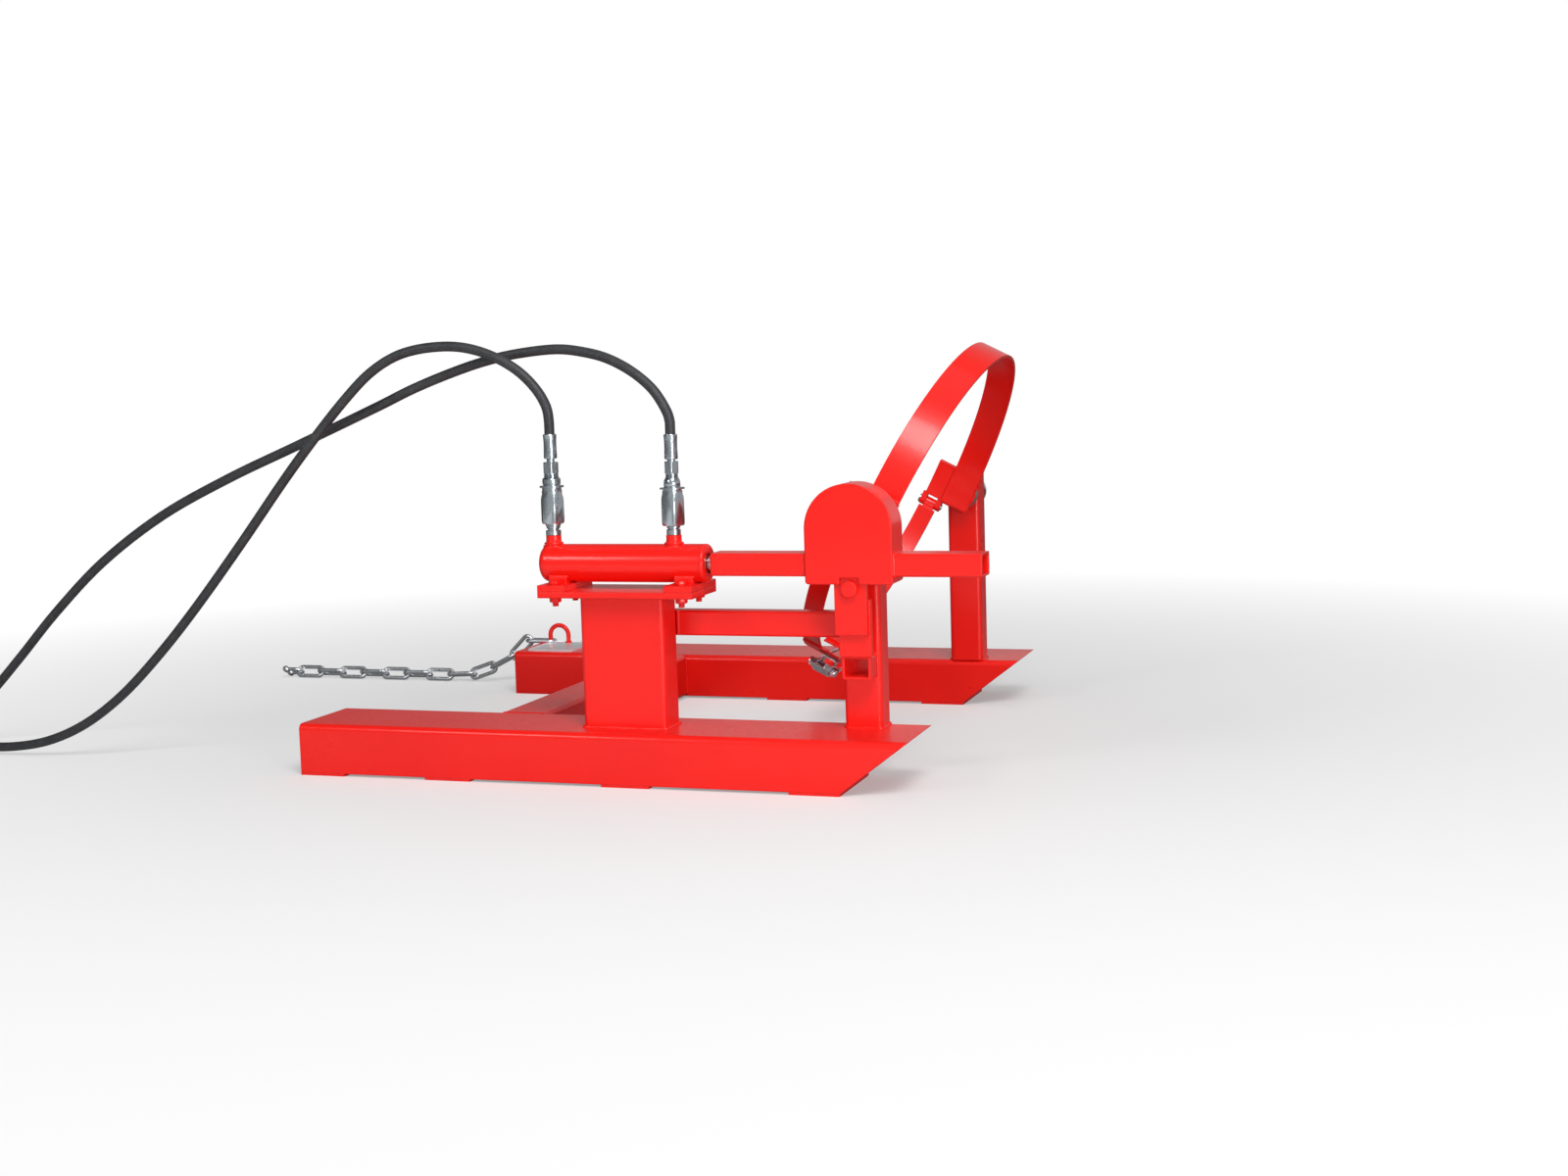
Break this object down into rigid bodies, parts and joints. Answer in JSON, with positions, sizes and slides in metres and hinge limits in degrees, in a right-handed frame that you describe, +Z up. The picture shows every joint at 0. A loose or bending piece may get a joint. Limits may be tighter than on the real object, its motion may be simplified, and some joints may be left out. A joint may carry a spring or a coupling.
{
  "type": "drum tipper",
  "caption": "Fork-mounted hydraulic drum tipper: fork pockets, posts, cylinder with rack and pinion housing, tilting clamp ring with hinged jaws and toggle latch, hoses, safety chain.",
  "frame": {"origin": "middle of the base on the floor, under the fork pockets and the rack's guide tube", "axes": "+X towards the pouring side along the fork pockets, +Y across from the cylinder's side to the far side, +Z up"},
  "size_m": [2.1823, 0.968, 0.694],
  "materials": {
    "red_paint": "gloss red coat over welded steel",
    "zinc_plate": "bright zinc plate",
    "bare_steel": "oiled machined steel",
    "chromed_rod": "hard chrome",
    "hose_rubber": "matt black wrapped rubber cover"
  },
  "bodies": {
    "frame": {"near_fork_pocket": "red_paint", "far_fork_pocket": "red_paint", "near_runner_straps": "red_paint", "far_runner_straps": "red_paint", "rear_cross_tube": "red_paint", "rear_post": "red_paint", "cylinder_base_plate": "red_paint", "near_front_post": "red_paint", "far_front_post": "red_paint", "post_strut": "red_paint", "bracket_stub_tube": "red_paint", "bracket_plates": "red_paint", "bracket_bolt": "red_paint", "near_bearing_bush": "bare_steel", "far_bearing_bush": "bare_steel", "chain_eye": "red_paint", "gear_housing": "red_paint", "housing_cover": "red_paint", "rack_guide_tube": "red_paint", "cylinder_feet": "red_paint", "foot_bolts": "red_paint", "foot_nuts": "red_paint", "cylinder_barrel": "red_paint", "cylinder_gland": "bare_steel", "rear_port_valve": "zinc_plate", "front_port_valve": "zinc_plate", "rear_hose_fitting": "zinc_plate", "front_hose_fitting": "zinc_plate", "rear_hose": "hose_rubber", "front_hose": "hose_rubber", "rear_hose_coupling": "zinc_plate", "front_hose_coupling": "zinc_plate", "safety_chain": "zinc_plate", "chain_shackle": "zinc_plate"},
    "rack": {"piston": "bare_steel", "piston_rod": "chromed_rod", "rack_bar": "bare_steel"},
    "tilt_ring": {"pinion": "bare_steel", "trunnion_shaft": "bare_steel", "ring_band": "red_paint", "near_saddle": "red_paint", "far_saddle": "red_paint", "far_trunnion": "bare_steel", "far_shaft_collar": "zinc_plate", "near_hinge_pin": "zinc_plate", "far_hinge_pin": "zinc_plate"},
    "near_jaw": {"near_strap": "red_paint", "latch_base": "red_paint", "latch_pin": "zinc_plate"},
    "far_jaw": {"far_strap": "red_paint", "latch_keeper": "red_paint"},
    "latch_lever": {"latch_lever": "zinc_plate"},
    "latch_bail": {"latch_bail": "zinc_plate", "bail_trunnion": "zinc_plate", "bail_nuts": "zinc_plate"}
  },
  "joints": [
    {"name": "ring_tilt", "type": "hinge", "parent": "frame", "child": "tilt_ring", "pos_m": [0.3605, 0, 0.395], "axis": [0, 1, 0], "range_deg": [-117, 63]},
    {"name": "rack_slide", "type": "slide", "parent": "frame", "child": "rack", "axis": [1, 0, 0], "range_m": [-0.0573, 0.1063]},
    {"name": "near_jaw_hinge", "type": "hinge", "parent": "tilt_ring", "child": "near_jaw", "pos_m": [0.30518, -0.29942, 0.37894], "axis": [-0.891, 0, 0.454], "range_deg": [0, 32]},
    {"name": "far_jaw_hinge", "type": "hinge", "parent": "tilt_ring", "child": "far_jaw", "pos_m": [0.30518, 0.29942, 0.37894], "axis": [0.891, 0, -0.454], "range_deg": [0, 40]},
    {"name": "latch_lever_hinge", "type": "hinge", "parent": "near_jaw", "child": "latch_lever", "pos_m": [0.20865, -0.062, 0.12782], "axis": [0.891, 0, -0.454], "range_deg": [0, 170]},
    {"name": "latch_bail_hinge", "type": "hinge", "parent": "latch_lever", "child": "latch_bail", "pos_m": [0.21047, -0.086, 0.13138], "axis": [0.891, 0, -0.454], "range_deg": [-170, 0]}
  ],
  "couplings": [
    {"joint": "rack_slide", "follows": "ring_tilt", "m_per_rad": -0.052},
    {"joint": "latch_bail_hinge", "follows": "latch_lever_hinge", "ratio": -1}
  ]
}
